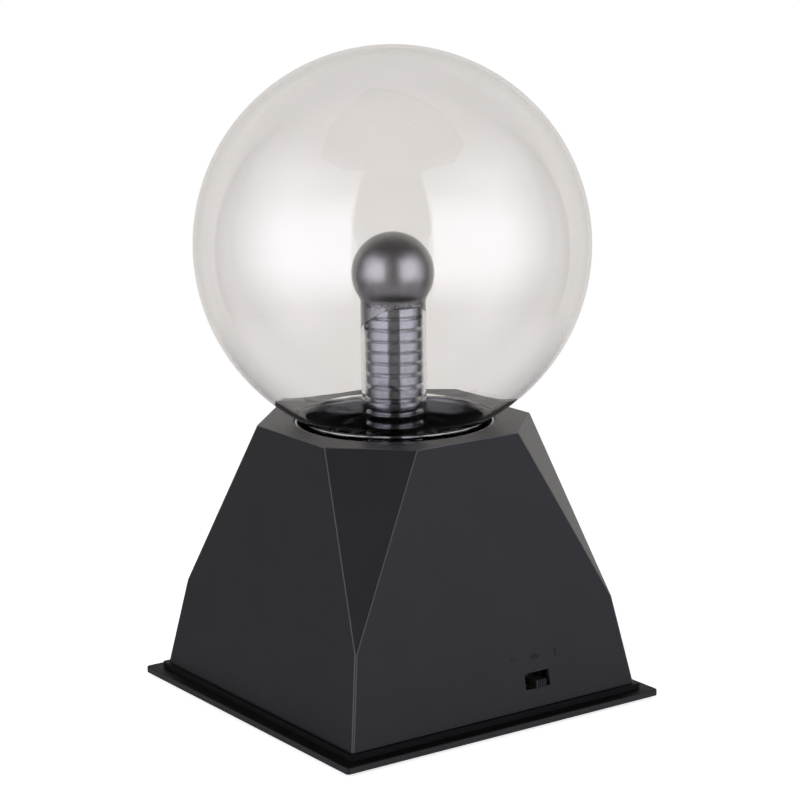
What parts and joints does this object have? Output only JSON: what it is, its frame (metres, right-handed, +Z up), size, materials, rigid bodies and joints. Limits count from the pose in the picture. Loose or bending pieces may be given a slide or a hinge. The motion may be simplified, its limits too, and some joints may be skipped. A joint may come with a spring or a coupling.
{
  "type": "plasma ball",
  "caption": "Desk plasma ball: a clear glass globe with a central electrode on a faceted black housing with a slide switch and a square base plate.",
  "frame": {"origin": "on the table, at the centre of the square of rubber feet, below the middle of the globe", "axes": "+Z up along the globe's axis; -Y towards the side with the slide switch; +X to the right when facing that side"},
  "size_m": [0.2004, 0.2004, 0.3329],
  "materials": {
    "housing_plastic": "fine spark texture",
    "plate_plastic": "satin",
    "cradle_plastic": "polished",
    "knob_plastic": "satin",
    "inner_plastic": "moulded",
    "globe_glass": "blown, clear",
    "film_metal": "dark metallic film",
    "sleeve_metal": "tinned, satin",
    "contact_brass": "pressed",
    "screw_steel": "zinc plated",
    "frame_steel": "plated",
    "seal_rubber": "matte",
    "foot_rubber": "matte",
    "silicone": "smooth",
    "board_laminate": "solder mask",
    "ferrite": "sintered",
    "copper_wire": "enamelled wire",
    "coil_tape": "polyester tape",
    "lead_sleeve_red": "extruded",
    "lead_sleeve_black": "extruded",
    "heatsink_aluminium": "extruded",
    "moulded_epoxy": "moulded",
    "capacitor_sleeve": "shrunk sleeve",
    "resistor_paint": "lacquer",
    "connector_nylon": "moulded"
  },
  "bodies": {
    "housing": {"base_plate": "plate_plastic", "foot_back_left": "foot_rubber", "foot_back_right": "foot_rubber", "foot_front_left": "foot_rubber", "foot_front_right": "foot_rubber", "base_screws": "screw_steel", "housing": "housing_plastic", "globe_cradle": "cradle_plastic", "cradle_screws": "screw_steel", "globe_gasket": "seal_rubber", "silicone_bead": "silicone", "glass_globe": "globe_glass", "electrode_glass": "globe_glass", "electrode_coating": "film_metal", "contact_sleeve": "sleeve_metal", "contact_plug": "inner_plastic", "plug_screws": "screw_steel", "contact_disc": "contact_brass", "circuit_board": "board_laminate", "board_screws": "screw_steel", "transformer_core": "ferrite", "transformer_bobbin": "inner_plastic", "primary_winding": "copper_wire", "hv_winding": "coil_tape", "hv_lead": "lead_sleeve_red", "heatsink": "heatsink_aluminium", "power_transistor": "moulded_epoxy", "transistor_screw": "screw_steel", "filter_capacitor": "capacitor_sleeve", "small_capacitors": "capacitor_sleeve", "microphone": "heatsink_aluminium", "driver_chip": "moulded_epoxy", "resistors": "resistor_paint", "input_choke": "ferrite", "lead_connector": "connector_nylon", "switch_frame": "frame_steel", "switch_base": "moulded_epoxy", "dc_jack": "inner_plastic", "jack_pin": "frame_steel", "jack_nut": "frame_steel", "jack_lead_plus": "lead_sleeve_red", "jack_lead_minus": "lead_sleeve_black"},
    "knob": {"switch_knob": "knob_plastic", "switch_wiper": "contact_brass"}
  },
  "joints": [
    {"name": "switch_slide", "type": "slide", "parent": "housing", "child": "knob", "axis": [1, 0, 0], "range_m": [-0.004, 0.004]}
  ]
}
